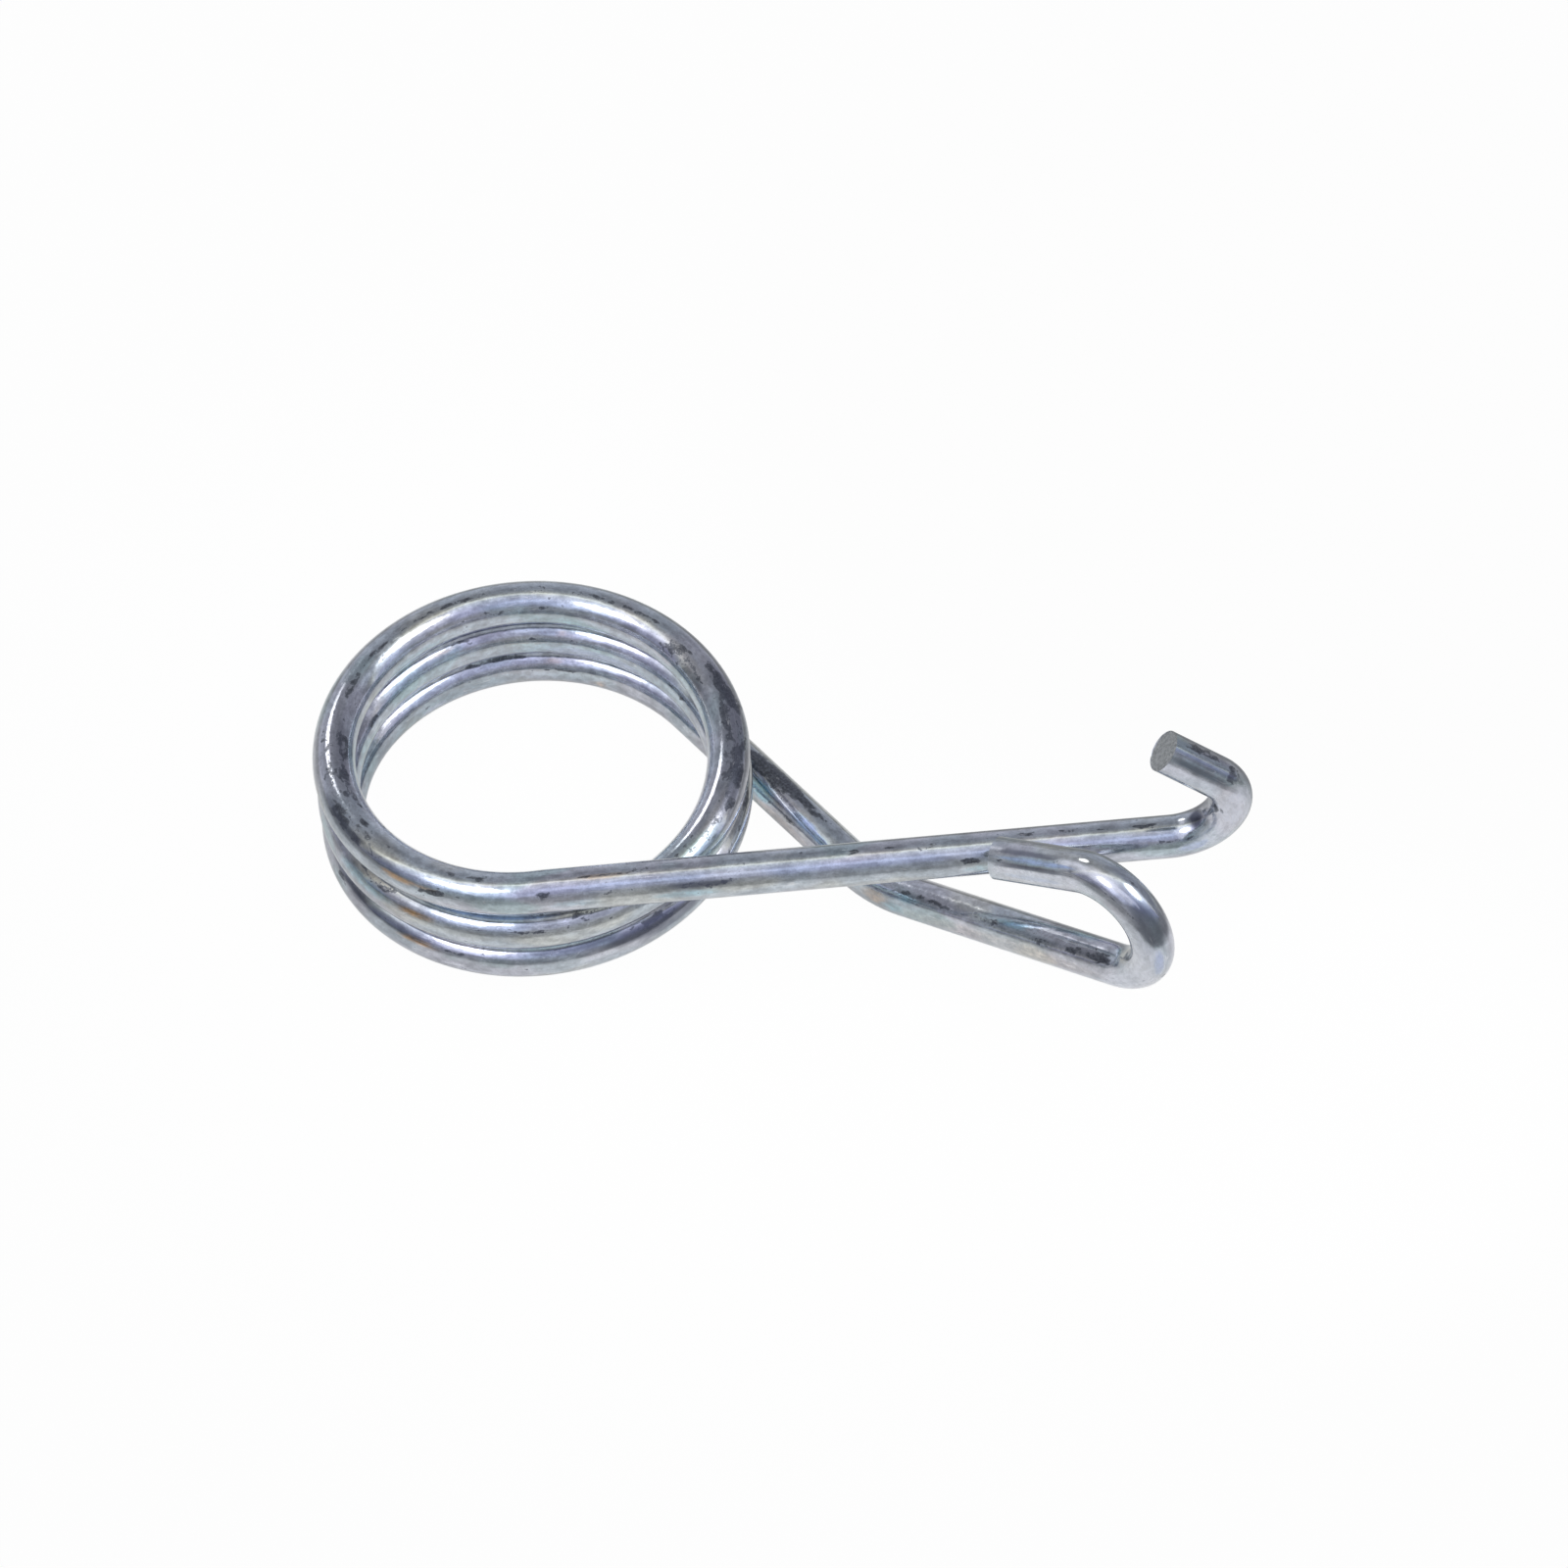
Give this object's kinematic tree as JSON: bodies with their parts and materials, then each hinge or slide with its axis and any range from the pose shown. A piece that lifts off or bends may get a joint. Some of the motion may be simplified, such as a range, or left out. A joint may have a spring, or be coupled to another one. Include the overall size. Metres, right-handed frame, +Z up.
{
  "type": "retaining spring",
  "caption": "Retaining spring of plated round wire: a short close coil whose straight arms cross beside it and end in hooks bent up and back.",
  "frame": {"origin": "where the axis of the coil crosses the plane that the spring lies on", "axes": "+Z straight up from that plane, +X along the upper arm towards its hook"},
  "size_m": [0.0531, 0.0356, 0.0178],
  "materials": {
    "plated_wire": "bright zinc plate with a blue cast, stained and scratched"
  },
  "bodies": {
    "root": {"spring": "plated_wire"}
  },
  "joints": []
}
